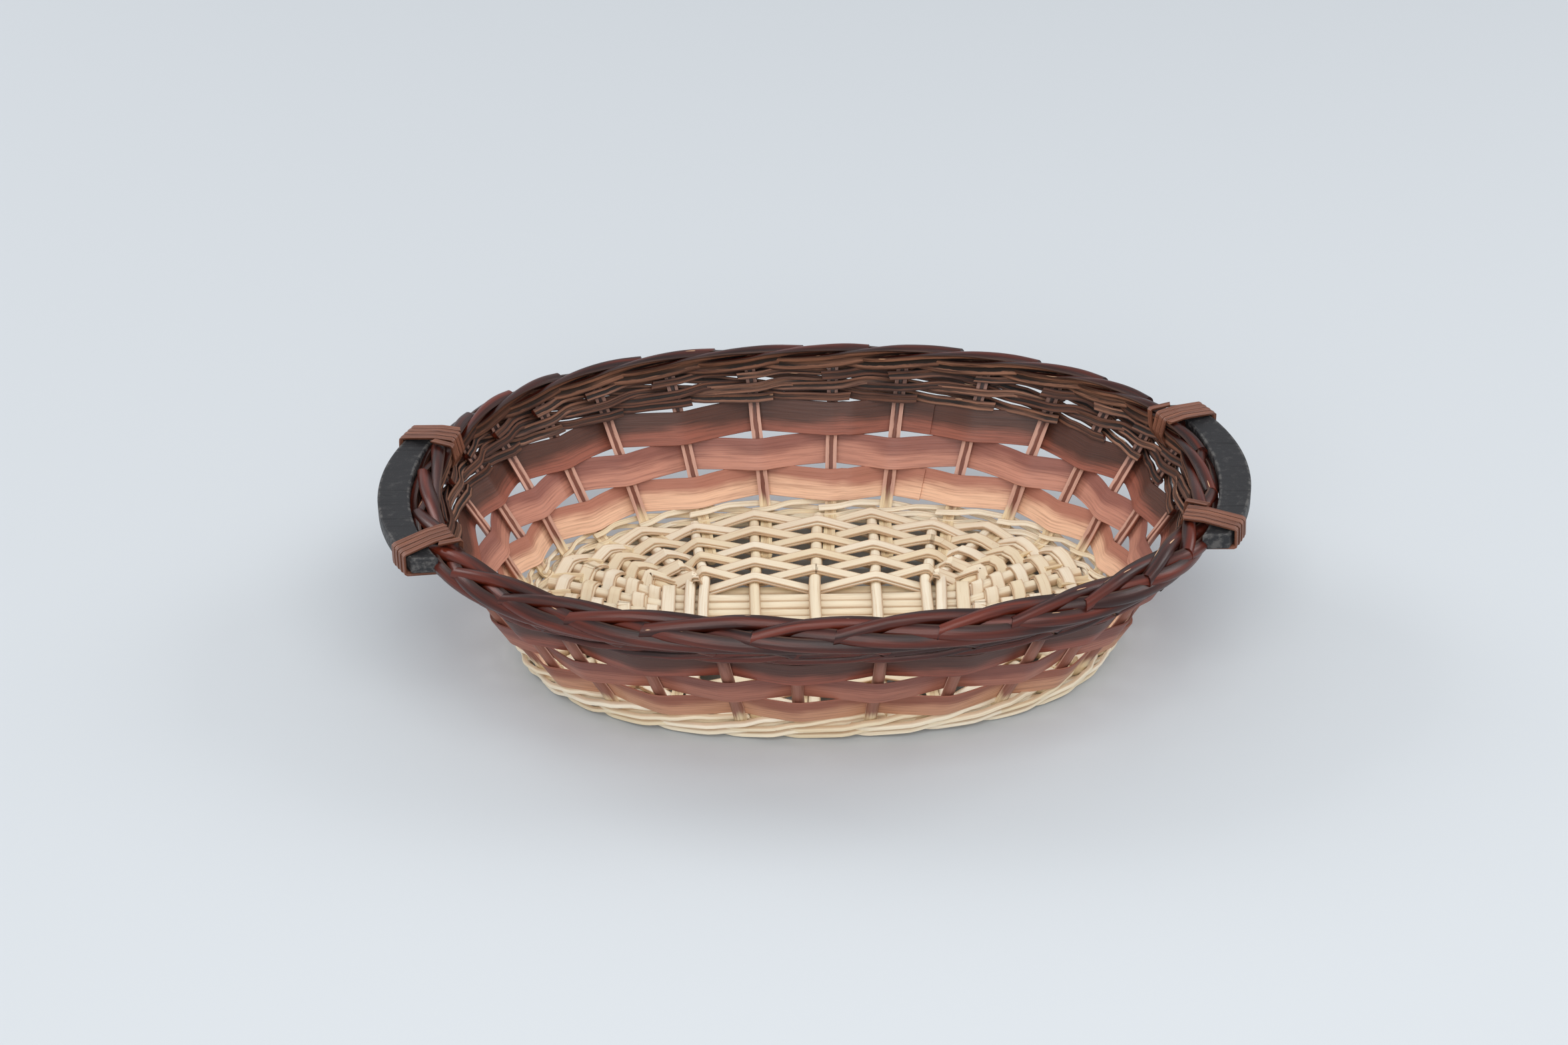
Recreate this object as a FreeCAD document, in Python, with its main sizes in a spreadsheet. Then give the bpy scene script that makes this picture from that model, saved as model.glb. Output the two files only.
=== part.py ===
import FreeCAD, Part
from FreeCAD import Placement, Rotation, Vector
import Sketcher

import math
import os

# Oval wicker basket with two lashed wooden handles, in millimetres.
#
# The basket stands on the XY plane with its length along X. Its wall is a set of split willow
# stakes between two ovals, a smaller one at the floor and a larger one at the rim. Wood strips
# and willow rods weave around the stakes, and every woven piece takes its place from the stakes.

SIZES = {
    # ovals that the stakes stand on, measured to the middle of a stake
    "base_length": 296.0,
    "base_width": 191.0,
    "rim_length": 386.0,
    "rim_width": 259.0,
    "oval_power": 2.33,
    "floor_level": 5.5,
    "rim_level": 83.5,
    # split willow stakes, flat side inwards
    "stake_width": 6.0,
    "stake_thickness": 3.2,
    "stake_bend": 6.0,
    "stake_foot": 7.0,
    # sticks of the floor
    "stick_diameter": 6.0,
    "stick_gap": 0.6,
    "stick_bend": 40.0,
    "stick_end_gap": 5.7,
    "stick_side_clearance": 0.2,
    "stick_clearance": 0.2,
    "panel_clearance": 0.6,
    "panel_length": 144.0,
    "cross_pitch_inner": 31.0,
    "cross_pitch_middle": 57.0,
    "cross_pair_gap": 1.0,
    # flat willow skeins woven through the floor
    "skein_width": 3.6,
    "skein_thickness": 1.2,
    "skein_clearance": 0.4,
    "skein_margin": 1.5,
    "skein_fan_margin": 13.0,
    "skein_end_margin": 2.6,
    # wide wood strips woven round the wall
    "strip_height": 15.6,
    "strip_thickness": 1.0,
    "strip_foot_gap": 2.1,
    "strip_gap": 0.5,
    # willow rods at the foot and under the rim
    "wale_height": 3.8,
    "wale_thickness": 3.2,
    "wale_gap": 0.4,
    "rim_wale_gap": 0.8,
    "foot_trim": 0.6,
    "wale_clearance": 1.0,
    "strip_clearance": 1.0,
    # border bundle
    "border_wale_gap": 3.5,
    "border_height": 9.4,
    "border_thickness": 11.0,
    "border_cut": 2.5,
    "border_gap": 0.2,
    # handles
    "handle_width": 16.0,
    "handle_length": 123.0,
    "handle_thickness": 8.5,
    "handle_inner_radius": 125.0,
    "handle_outer_radius": 110.0,
    "handle_clearance": 1.6,
    "handle_rise": 0.5,
    "handle_chamfer_length": 13.0,
    "handle_end_width": 13.5,
    # lashings
    "lashing_width": 3.0,
    "lashing_pitch": 3.3,
    "lashing_thickness": 1.2,
    "lashing_clearance": 0.3,
    "lashing_corner": 1.6,
}

# where the stakes stand round the oval, in degrees of its formula, over the back half
HALF_STATIONS = [2.5, 14.5, 26.0, 38.5, 51.0, 65.0, 78.5, 88.0, 97.5, 110.0, 123.5, 136.0, 148.5,
                 159.5, 170.0]
STATIONS = HALF_STATIONS + [angle + 180.0 for angle in HALF_STATIONS]
COUNT = len(STATIONS)
HALF = len(HALF_STATIONS)
MIDDLE = HALF // 2  # the station at the middle of the back, on the centre cross stick
FLOOR_ROWS = 11
STRIP_ROWS = 3
WALE_ROWS = 3
UP = Vector(0, 0, 1)

os.makedirs("parts", exist_ok=True)
doc = FreeCAD.newDocument("wicker_basket")
sheet = doc.addObject("Spreadsheet::Sheet", "Sizes")
for row, (alias, value) in enumerate(SIZES.items(), start=1):
    sheet.set(f"A{row}", alias)
    sheet.set(f"B{row}", str(value))
    sheet.setAlias(f"B{row}", alias)
doc.recompute()
parts = []


def size(alias):
    """A driving size, read from the sheet."""
    return float(sheet.get(alias))


def add_part(item, label):
    """Names an object of the document as one sub-part of the basket."""
    item.Label = label
    parts.append(item)
    return item


def add_shape(label, shape):
    """A sub-part whose shape follows the weave, so no sketch or primitive makes it."""
    item = doc.addObject("Part::Feature", label)
    item.Shape = shape
    return add_part(item, label)


# ---- the oval and the stake line ----

def oval_point(angle, half_length, half_width):
    """A point of the oval |x/a|^n + |y/b|^n = 1, at a station angle in degrees."""
    power = 2.0 / size("oval_power")
    c, s = math.cos(math.radians(angle)), math.sin(math.radians(angle))
    return Vector(
        half_length * math.copysign(abs(c) ** power, c),
        half_width * math.copysign(abs(s) ** power, s),
        0,
    )


def oval_normal(point, half_length, half_width):
    """The outward direction of that oval at one of its points, in plan."""
    power = size("oval_power") - 1.0
    x, y = point.x / half_length, point.y / half_width
    normal = Vector(
        math.copysign(abs(x) ** power, x) / half_length,
        math.copysign(abs(y) ** power, y) / half_width,
        0,
    )
    return normal.normalize()


def level_share(z):
    """How far up the stake line a height is, 0 at the floor and 1 at the rim."""
    return (z - size("floor_level")) / (size("rim_level") - size("floor_level"))


def half_sizes(z):
    """Half the length and width of the stake oval at a height."""
    share = level_share(z)
    length = size("base_length") + share * (size("rim_length") - size("base_length"))
    width = size("base_width") + share * (size("rim_width") - size("base_width"))
    return length / 2, width / 2


def wall_point(angle, z, offset=0.0):
    """A point of the stake line at a height, moved outwards in plan by an offset."""
    a, b = half_sizes(z)
    point = oval_point(angle, a, b)
    point += oval_normal(point, a, b) * offset
    point.z = z
    return point


def between(index):
    """The station angle halfway from one stake to the next."""
    following = STATIONS[(index + 1) % COUNT] + (360.0 if index + 1 == COUNT else 0.0)
    return (STATIONS[index] + following) / 2


# ---- solids ----

def closed_curve(points):
    curve = Part.BSplineCurve()
    curve.interpolate(Points=points, PeriodicFlag=True)
    return curve.toShape()


def ring_solid(corners):
    """A closed ring from the closed curves of its corners, given in order round it."""
    curves = [closed_curve(points) for points in corners]
    faces = []
    for i, curve in enumerate(curves):
        faces.append(Part.makeRuledSurface(curve, curves[(i + 1) % len(curves)]))
    shell = Part.Shell(faces)
    shell.sewShape()
    solid = Part.Solid(shell)
    if solid.Volume < 0:
        solid.reverse()
    return solid


def wall_ring(outline, offsets, upright_at=None):
    """A ring in the wall from its section's outline, as (distance out, height) corners.

    offsets gives how far out the section stands at each stake. The section leans with the wall,
    or stands upright on the wall's oval at one height.
    """
    corners = []
    for out, z in outline:
        lift = Vector(0, 0, z - upright_at) if upright_at else Vector(0, 0, 0)
        level = upright_at or z
        points = []
        for i, angle in enumerate(STATIONS):
            middle = (offsets[i] + offsets[(i + 1) % COUNT]) / 2
            points.append(wall_point(angle, level, offsets[i] + out) + lift)
            points.append(wall_point(between(i), level, middle + out) + lift)
        corners.append(points)
    return ring_solid(corners)


def band(bottom, height, thickness, offsets):
    """A level band of rectangular section."""
    half, top = thickness / 2, bottom + height
    return wall_ring([(-half, bottom), (half, bottom), (half, top), (-half, top)], offsets)


def weave_offsets(thickness, clearance, first):
    """In and out by turns: +1 starts outside the first stake."""
    reach = (size("stake_thickness") + thickness) / 2 + clearance
    return [reach * first * (1 if i % 2 == 0 else -1) for i in range(COUNT)]


def rounded_path(points, radius):
    """Straight runs through the points, joined by tangent arcs."""
    edges = []
    start = points[0]
    for before, corner, after in zip(points, points[1:], points[2:]):
        arriving = (corner - before).normalize()
        leaving = (after - corner).normalize()
        turn = arriving.getAngle(leaving)
        if turn < math.radians(1.0):
            continue
        reach = radius * math.tan(turn / 2)
        first, last = corner - arriving * reach, corner + leaving * reach
        inward = (leaving - arriving).normalize()
        middle = corner + inward * (radius / math.cos(turn / 2) - radius)
        edges.append(Part.LineSegment(start, first).toShape())
        edges.append(Part.Arc(first, middle, last).toShape())
        start = last
    edges.append(Part.LineSegment(start, points[-1]).toShape())
    return Part.Wire(edges)


def sweep(label, path, section):
    """A Part::Sweep of a section object along a path of lines and arcs."""
    spine = doc.addObject("Part::Feature", label + "_line")
    spine.Shape = path
    item = doc.addObject("Part::Sweep", label)
    item.Sections = [section]
    item.Spine = (spine, [f"Edge{i + 1}" for i in range(len(path.Edges))])
    item.Solid = True
    item.Frenet = False
    return item


# ---- floor ----

def stick_end(index):
    """Where a floor stick stops: beside the foot of its stake, short of the wall."""
    angle = STATIONS[index]
    a, b = half_sizes(size("floor_level"))
    point = oval_point(angle, a, b)
    normal = oval_normal(point, a, b)
    along = UP.cross(normal)
    end = point + along * stick_side_gap() - normal * size("stick_end_gap")
    end.z = (panel_level() + cross_level()) / 2
    return end


def stick_pitch():
    return size("stick_diameter") + size("stick_gap")


def stick_side_gap():
    """How far beside its stake's middle a stick ends."""
    return (size("stick_diameter") + size("stake_width")) / 2 + size("stick_side_clearance")


def panel_level():
    """The height of the long sticks, with a skein and a gap below them."""
    return size("stick_diameter") / 2 + size("skein_thickness") + size("panel_clearance")


def cross_level():
    """The height of the cross sticks, which lie on the long sticks at the panel."""
    return panel_level() + size("stick_diameter") + size("stick_clearance")


def stick_section(label, start, direction):
    circle = doc.addObject("Part::Circle", label + "_section")
    circle.setExpression("Radius", f"{sheet.Name}.stick_diameter / 2")
    circle.Placement = Placement(start, Rotation(UP, direction))
    return circle


def floor_stick(label, points):
    path = rounded_path(points, size("stick_bend"))
    section = stick_section(label, points[0], points[1] - points[0])
    return add_part(sweep(label, path, section), label)


def panel_half_width():
    """Half the width of the bundle of long sticks."""
    return stick_pitch() * 4


def cross_offsets():
    inner, middle = size("cross_pitch_inner"), size("cross_pitch_middle")
    outer = middle + size("stick_diameter") + size("cross_pair_gap")
    return [-outer, -middle, -inner, 0.0, inner, middle, outer]


def cross_runs():
    """Each cross stick's four points, from its front end to its back end."""
    runs = []
    for number, x in enumerate(cross_offsets()):
        back = stick_end(MIDDLE + 3 - number)
        front = stick_end(MIDDLE + HALF - 3 + number)
        half = panel_half_width()
        level = cross_level()
        runs.append([front, Vector(x, -half, level), Vector(x, half, level), back])
    return runs


def long_runs():
    """Each long stick's four points, from its left end to its right end, front stick first."""
    runs = []
    for number in range(8):
        y = (number - 3.5) * stick_pitch()
        if number < 4:
            left, right = stick_end(HALF + 3 - number), stick_end(2 * HALF - 4 + number)
        else:
            left, right = stick_end(HALF - 1 - (number - 4)), stick_end(number - 4)
        half = size("panel_length") / 2
        level = panel_level()
        runs.append([left, Vector(-half, y, level), Vector(half, y, level), right])
    return runs


def outer_runs():
    """For each station, where its stick leaves the panel, where it ends, and its inner margin."""
    runs = {}
    for number, (front, panel_front, panel_back, back) in enumerate(cross_runs()):
        margin = size("skein_margin")
        runs[MIDDLE + 3 - number] = (panel_back, back, margin)
        runs[MIDDLE + HALF - 3 + number] = (panel_front, front, margin)
    for number, (left, panel_left, panel_right, right) in enumerate(long_runs()):
        margin = size("skein_fan_margin")
        if number < 4:
            runs[HALF + 3 - number] = (panel_left, left, margin)
            runs[2 * HALF - 4 + number] = (panel_right, right, margin)
        else:
            runs[HALF - 1 - (number - 4)] = (panel_left, left, margin)
            runs[number - 4] = (panel_right, right, margin)
    return [runs[i] for i in range(COUNT)]


def skein_row(row, runs):
    """One ring of flat skein, over one stick and under the next."""
    half = size("skein_width") / 2
    reach = size("stick_diameter") / 2 + size("skein_thickness") / 2 + size("skein_clearance")
    crossings = []
    for i, (inner, outer, margin) in enumerate(runs):
        direction = (outer - inner).normalize()
        run = (outer - inner).Length - margin - size("skein_end_margin") - 2 * half
        point = inner + direction * (margin + half + run * row / (FLOOR_ROWS - 1))
        crossings.append((point, direction, reach * (1 if (i + row) % 2 == 0 else -1)))
    corners = []
    for side, top in ((-1, -1), (1, -1), (1, 1), (-1, 1)):
        points = []
        for i, (point, direction, lift) in enumerate(crossings):
            next_point, next_direction, _ = crossings[(i + 1) % COUNT]
            middle = (direction + next_direction).normalize()
            across = side * size("skein_width") / 2
            raised = top * size("skein_thickness") / 2
            points.append(point + direction * across + UP * (lift + raised))
            points.append((point + next_point) / 2 + middle * across + UP * raised)
        corners.append(points)
    return ring_solid(corners)


def build_floor():
    for number, points in enumerate(cross_runs(), start=1):
        floor_stick(f"cross_stick_{number}", points)
    for number, points in enumerate(long_runs(), start=1):
        floor_stick(f"long_stick_{number}", points)
    runs = outer_runs()
    rows = [skein_row(row, runs) for row in range(FLOOR_ROWS)]
    add_shape("floor_skeins", Part.makeCompound(rows))


# ---- heights up the wall ----

def wale_step():
    return size("wale_height") + size("wale_gap")


def strip_bottom(row):
    """The lower edge of a wood strip: the strips stand in turn above the foot wale."""
    foot_top = (WALE_ROWS - 1) * wale_step() + size("wale_height")
    return foot_top + size("strip_foot_gap") + row * (size("strip_height") + size("strip_gap"))


def rim_wale_bottom():
    return strip_bottom(STRIP_ROWS - 1) + size("strip_height") + size("rim_wale_gap")


def border_bottom():
    top = rim_wale_bottom() + (WALE_ROWS - 1) * wale_step() + size("wale_height")
    return top + size("border_wale_gap")


# ---- stakes ----

def stake_points(angle, foot):
    """A stake's line: in along the floor, then up the wall to the underside of the border."""
    heel = wall_point(angle, size("floor_level"))
    # the stake leans, so the inner edge of its square end stands a little higher than its middle
    lean_rise = size("stake_thickness") / 4
    top = wall_point(angle, border_bottom() - size("border_gap") - lean_rise)
    inward = Vector(heel.x - top.x, heel.y - top.y, 0).normalize()
    return [heel + inward * foot, heel, top]


def half_round_sketch(label, start, direction):
    """The split willow section, flat side up, standing across the start of a stake's line."""
    sketch = doc.addObject("Sketcher::SketchObject", label + "_section")
    half = size("stake_width") / 2
    flat = size("stake_thickness") / 2
    left, right, low = Vector(-half, flat, 0), Vector(half, flat, 0), Vector(0, -flat, 0)
    sketch.addGeometry(Part.LineSegment(left, right), False)
    sketch.addGeometry(Part.Arc(left, low, right), False)
    sketch.addConstraint(Sketcher.Constraint("Coincident", 0, 1, 1, 1))
    sketch.addConstraint(Sketcher.Constraint("Coincident", 0, 2, 1, 2))
    sketch.addConstraint(Sketcher.Constraint("Symmetric", 0, 1, 0, 2, -2))
    name = sheet.Name
    arc_radius = f"({name}.stake_width ^ 2 / 4 + {name}.stake_thickness ^ 2)"
    arc_radius += f" / (2 * {name}.stake_thickness)"
    driven = [
        (("DistanceX", 0, 1, 0, 2, 2 * half), f"{name}.stake_width"),
        (("DistanceY", -1, 1, 0, 1, flat), f"{name}.stake_thickness / 2"),
        (("Radius", 1, sketch.Geometry[1].Radius), arc_radius),
    ]
    for values, formula in driven:
        index = sketch.addConstraint(Sketcher.Constraint(*values))
        sketch.setExpression(f"Constraints[{index}]", formula)
    sideways = direction.cross(UP).normalize()
    sketch.Placement = Placement(start, Rotation(sideways, UP, direction * -1, "ZXY"))
    return sketch


def build_stakes():
    for number, angle in enumerate(STATIONS, start=1):
        label = f"side_stake_{number:02d}"
        points = stake_points(angle, size("stake_foot"))
        section = half_round_sketch(label, points[0], points[1] - points[0])
        add_part(sweep(label, rounded_path(points, size("stake_bend")), section), label)


# ---- wall ----

def foot_ring():
    """The lowest foot rod, cut level where the basket stands on it."""
    trim = size("foot_trim")
    ring = band(-trim, wale_step() - 2 * size("wale_gap") + trim, size("wale_thickness"), [0.0] * COUNT)
    length, width = size("rim_length"), size("rim_width")
    below = Part.makeBox(length, width, 2 * trim, Vector(-length / 2, -width / 2, -2 * trim))
    return ring.cut(below)


def build_wall():
    wale = size("wale_thickness")
    height = size("wale_height")
    step = wale_step()
    clearance = size("wale_clearance")
    outside = (size("stake_thickness") + wale) / 2 + clearance
    foot_rows = [
        foot_ring(),
        band(step, height, wale, [outside] * COUNT),
        band(2 * step, height, wale, weave_offsets(wale, clearance, 1)),
    ]
    add_shape("foot_wale", Part.makeCompound(foot_rows))
    strip = size("strip_thickness")
    for row in range(STRIP_ROWS):
        bottom = strip_bottom(row)
        first = 1 if row % 2 == 0 else -1
        offsets = weave_offsets(strip, size("strip_clearance"), first)
        ring = band(bottom, size("strip_height"), strip, offsets)
        add_shape(f"wood_strip_{row + 1}", ring)
    rim_rows = []
    for row in range(WALE_ROWS):
        bottom = rim_wale_bottom() + row * step
        first = -1 if row % 2 == 0 else 1
        rim_rows.append(band(bottom, height, wale, weave_offsets(wale, clearance, first)))
    add_shape("rim_wale", Part.makeCompound(rim_rows))


# ---- border ----

def border_level():
    """The height of the middle of the border."""
    return border_bottom() + size("border_height") / 2


def build_border():
    cut = size("border_cut")
    half = size("border_thickness") / 2
    low = border_bottom()
    top = low + size("border_height")
    outline = [
        (cut - half, low), (half - cut, low), (half, low + cut), (half, top - cut),
        (half - cut, top), (cut - half, top), (-half, top - cut), (-half, low + cut),
    ]
    add_shape("rim_border", wall_ring(outline, [0.0] * COUNT, upright_at=border_level()))


# ---- handles ----
LASHED_GAPS = {"right": (COUNT - 2, 1), "left": (HALF - 2, HALF + 1)}
TURNS = 4


def lashing_angles(side):
    """The two gaps between stakes that a handle is lashed through."""
    return [between(i) for i in LASHED_GAPS[side]]


def handle_frame(side):
    """Where the middle of a handle's inner edge lies, and its outward direction."""
    level = border_level()
    first, second = (wall_point(angle, level) for angle in lashing_angles(side))
    chord = second - first
    outward = chord.cross(UP).normalize()
    if outward.dot(first) < 0:
        outward = outward * -1
    radius = size("handle_inner_radius")
    bow = radius - math.sqrt(radius ** 2 - (chord.Length / 2) ** 2)
    reach = size("border_thickness") / 2 + size("handle_clearance") + bow
    middle = (first + second) / 2 + outward * reach
    middle.z = handle_bottom()
    return middle, outward


def handle_bottom():
    top = border_bottom() + size("border_height") + size("handle_rise")
    return top - size("handle_thickness")


def handle_sketch(body):
    """A crescent with square ends and cut outer corners, its inner edge's middle at the origin."""
    sketch = body.newObject("Sketcher::SketchObject", body.Name + "_outline")
    plane = next(f for f in body.Origin.OriginFeatures if f.Role == "XY_Plane")
    sketch.AttachmentSupport = [(plane, "")]
    sketch.MapMode = "FlatFace"
    half = size("handle_length") / 2
    shoulder = half - size("handle_chamfer_length")
    inner, outer = size("handle_inner_radius"), size("handle_outer_radius")
    width = size("handle_width")
    inner_end = math.sqrt(inner ** 2 - half ** 2) - inner
    outer_end = width + math.sqrt(outer ** 2 - shoulder ** 2) - outer
    corner = inner_end + size("handle_end_width")
    low, high = Vector(inner_end, -half, 0), Vector(inner_end, half, 0)
    top, bottom = Vector(corner, half, 0), Vector(corner, -half, 0)
    top_shoulder, low_shoulder = Vector(outer_end, shoulder, 0), Vector(outer_end, -shoulder, 0)
    sketch.addGeometry(Part.Arc(low, Vector(0, 0, 0), high), False)
    sketch.addGeometry(Part.LineSegment(high, top), False)
    sketch.addGeometry(Part.LineSegment(top, top_shoulder), False)
    sketch.addGeometry(Part.Arc(low_shoulder, Vector(width, 0, 0), top_shoulder), False)
    sketch.addGeometry(Part.LineSegment(low_shoulder, bottom), False)
    sketch.addGeometry(Part.LineSegment(bottom, low), False)
    bind_handle_sketch(sketch)
    return sketch


def bind_handle_sketch(sketch):
    inner, end_high, cut_high, outer, cut_low, end_low = range(6)
    start, end, centre = 1, 2, 3
    joins = [
        (end_high, end, cut_high, start),
        (cut_low, end, end_low, start),
    ]
    for first, first_end, second, second_end in joins:
        sketch.addConstraint(
            Sketcher.Constraint("Coincident", first, first_end, second, second_end))
    arc_ends = [(inner, end_high, start), (inner, end_low, end), (outer, cut_high, end),
                (outer, cut_low, start)]
    points = sketch.Geometry
    for arc, line, line_end in arc_ends:
        target = points[line].StartPoint if line_end == start else points[line].EndPoint
        near_start = (points[arc].StartPoint - target).Length < (points[arc].EndPoint - target).Length
        sketch.addConstraint(
            Sketcher.Constraint("Coincident", arc, start if near_start else end, line, line_end))
    sketch.addConstraint(Sketcher.Constraint("Horizontal", end_high))
    sketch.addConstraint(Sketcher.Constraint("Symmetric", end_high, start, end_low, end, -1))
    sketch.addConstraint(Sketcher.Constraint("Symmetric", end_high, end, end_low, start, -1))
    sketch.addConstraint(Sketcher.Constraint("Symmetric", cut_high, end, cut_low, start, -1))
    sketch.addConstraint(Sketcher.Constraint("PointOnObject", -1, 1, inner))
    length = abs(points[end_high].StartPoint.y - points[end_low].EndPoint.y)
    across = abs(points[end_high].EndPoint.x - points[end_high].StartPoint.x)
    shoulders = abs(points[cut_high].EndPoint.y - points[cut_low].StartPoint.y)
    driven = [
        (("DistanceY", end_low, end, end_high, start, length), "handle_length"),
        (("DistanceX", end_high, start, end_high, end, across), "handle_end_width"),
        (("DistanceY", cut_low, start, cut_high, end, shoulders),
         "handle_length - 2 * {0}.handle_chamfer_length"),
        (("Radius", inner, points[inner].Radius), "handle_inner_radius"),
        (("Radius", outer, points[outer].Radius), "handle_outer_radius"),
        (("DistanceX", outer, centre, -1, 1, -points[outer].Center.x),
         "handle_outer_radius - {0}.handle_width"),
    ]
    for values, formula in driven:
        index = sketch.addConstraint(Sketcher.Constraint(*values))
        sketch.setExpression(f"Constraints[{index}]", f"{sheet.Name}." + formula.format(sheet.Name))


def build_handle(side):
    body = doc.addObject("PartDesign::Body", f"handle_block_{side}")
    pad = body.newObject("PartDesign::Pad", body.Name + "_pad")
    pad.Profile = handle_sketch(body)
    pad.setExpression("Length", f"{sheet.Name}.handle_thickness")
    middle, outward = handle_frame(side)
    turn = math.degrees(math.atan2(outward.y, outward.x))
    body.Placement = Placement(middle, Rotation(UP, turn))
    add_part(body, f"handle_block_{side}")


def outer_reach(point, direction, side):
    """How far a handle's outer edge is from a point in plan, along a direction."""
    middle, outward = handle_frame(side)
    radius = size("handle_outer_radius")
    centre = middle + outward * (size("handle_width") - radius)
    offset = Vector(centre.x - point.x, centre.y - point.y, 0)
    across = offset.cross(direction).Length
    return offset.dot(direction) + math.sqrt(radius ** 2 - across ** 2)


def lashing_turn(side, angle, shift):
    """One flat turn of split willow round the border and the handle."""
    level = border_level()
    a, b = half_sizes(level)
    start = wall_point(angle, level)
    outward = oval_normal(start, a, b)
    along = UP.cross(outward)
    place = start + along * shift
    width, thickness = size("lashing_width"), size("lashing_thickness")
    clearance = size("lashing_clearance")
    edges = [place + along * (end * width / 2) for end in (-1, 1)]
    far = max(outer_reach(edge, outward, side) for edge in edges) + clearance
    # the border curves away from the turn, so the inner side stands off by that much too
    near = -size("border_thickness") / 2 - clearance - abs(shift) * width / a
    low = min(border_bottom(), handle_bottom()) - clearance
    high = handle_bottom() + size("handle_thickness") + clearance
    hole = Part.makeBox(far - near, width, high - low, Vector(near, -width / 2, low))
    block = Part.makeBox(far - near + 2 * thickness, width, high - low + 2 * thickness,
                         Vector(near - thickness, -width / 2, low - thickness))
    corners = [e for e in block.Edges if abs(e.tangentAt(e.FirstParameter).y) > 0.9]
    turn = block.makeFillet(size("lashing_corner"), corners).cut(hole)
    angle_out = math.degrees(math.atan2(outward.y, outward.x))
    turn.Placement = Placement(Vector(place.x, place.y, 0), Rotation(UP, angle_out))
    return turn


def build_lashings(side):
    turns = []
    for angle in lashing_angles(side):
        for number in range(TURNS):
            shift = (number - (TURNS - 1) / 2) * size("lashing_pitch")
            turns.append(lashing_turn(side, angle, shift))
    add_shape(f"handle_lashing_{side}", Part.makeCompound(turns))


# ---- the whole basket ----

build_floor()
build_stakes()
build_wall()
build_border()
for side in ("left", "right"):
    build_handle(side)
    build_lashings(side)

doc.recompute()
for item in doc.Objects:
    if "Invalid" in item.State or "Error" in item.State:
        raise RuntimeError(f"{item.Label} did not build")
for item in parts:
    if item.Shape.isNull() or not item.Shape.isValid():
        raise RuntimeError(f"{item.Label} is not a valid shape")
for item in parts:
    item.Shape.exportStep(f"parts/{item.Label}.step")
    print(item.Label, round(item.Shape.Volume, 1))
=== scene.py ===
import math
import random

import bmesh
import bpy
from mathutils import Matrix, Vector


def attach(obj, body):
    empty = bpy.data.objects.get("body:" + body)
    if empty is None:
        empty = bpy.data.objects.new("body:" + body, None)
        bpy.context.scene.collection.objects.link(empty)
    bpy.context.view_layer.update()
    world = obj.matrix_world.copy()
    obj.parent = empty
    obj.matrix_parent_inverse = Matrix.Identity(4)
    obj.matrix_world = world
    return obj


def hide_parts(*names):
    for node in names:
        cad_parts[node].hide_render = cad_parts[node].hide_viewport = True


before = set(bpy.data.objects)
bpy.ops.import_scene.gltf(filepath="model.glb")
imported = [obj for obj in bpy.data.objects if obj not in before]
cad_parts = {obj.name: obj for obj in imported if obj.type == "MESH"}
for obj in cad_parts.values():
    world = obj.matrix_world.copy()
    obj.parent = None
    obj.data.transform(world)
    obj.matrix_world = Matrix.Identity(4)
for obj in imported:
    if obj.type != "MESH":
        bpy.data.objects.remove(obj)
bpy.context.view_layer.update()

print("frame loaded")
random.seed(7)
up = Vector((0, 0, 1))

# the stake line, from which every piece takes its place
wall = {
    "baseLength": 0.296,
    "baseWidth": 0.191,
    "rimLength": 0.386,
    "rimWidth": 0.259,
    "ovalPower": 2.33,
    "floorLevel": 0.0055,
    "rimLevel": 0.0835,
    # degrees of the oval's formula at the stakes of the back half
    "stations": [2.5, 14.5, 26, 38.5, 51, 65, 78.5, 88, 97.5, 110, 123.5, 136, 148.5, 159.5, 170],
}
stations = wall["stations"] + [angle + 180 for angle in wall["stations"]]
stakeCount = len(stations)
halfCount = stakeCount // 2
backMiddle = halfCount // 2


def stationAngle(u):
    turns, rest = divmod(u, stakeCount)
    i = int(rest)
    following = stations[(i + 1) % stakeCount] + (360 if i + 1 == stakeCount else 0)
    return math.radians(360 * turns + stations[i] + (rest - i) * (following - stations[i]))


def wallPoint(u, z, out=0.0):
    # u counts stakes round the wall, out is the distance from the stake line in plan
    share = (z - wall["floorLevel"]) / (wall["rimLevel"] - wall["floorLevel"])
    a = (wall["baseLength"] + share * (wall["rimLength"] - wall["baseLength"])) / 2
    b = (wall["baseWidth"] + share * (wall["rimWidth"] - wall["baseWidth"])) / 2
    c, s = math.cos(stationAngle(u)), math.sin(stationAngle(u))
    power = 2 / wall["ovalPower"]
    point = Vector((a * math.copysign(abs(c) ** power, c), b * math.copysign(abs(s) ** power, s), z))
    return point + ovalNormal(point, a, b) * out


def ovalNormal(point, a, b):
    power = wall["ovalPower"] - 1
    x, y = point.x / a, point.y / b
    slopeX = math.copysign(abs(x) ** power, x) / a
    slopeY = math.copysign(abs(y) ** power, y) / b
    return Vector((slopeX, slopeY, 0)).normalized()


smallStep = 0.001  # metres, for directions on the wall


def wallOut(u, z):
    return (wallPoint(u, z, smallStep) - wallPoint(u, z)).normalized()


def wallUp(u, z):
    return (wallPoint(u, z + smallStep) - wallPoint(u, z)).normalized()


def splitSection(groove=0.18, facets=7):
    # half-round willow: the flat side at +1 has a pith groove, the bark side is an arc
    lip, bed = 0.42, 0.3  # half the groove's width at the face and at its bottom
    flat = [(1, 1), (lip, 1), (bed, 1 - groove), (-bed, 1 - groove), (-lip, 1), (-1, 1)]
    arc = []
    for k in range(1, facets):
        angle = math.pi * k / facets
        arc.append((-math.cos(angle), 1 - 2 * math.sin(angle)))
    return flat + arc


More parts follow.
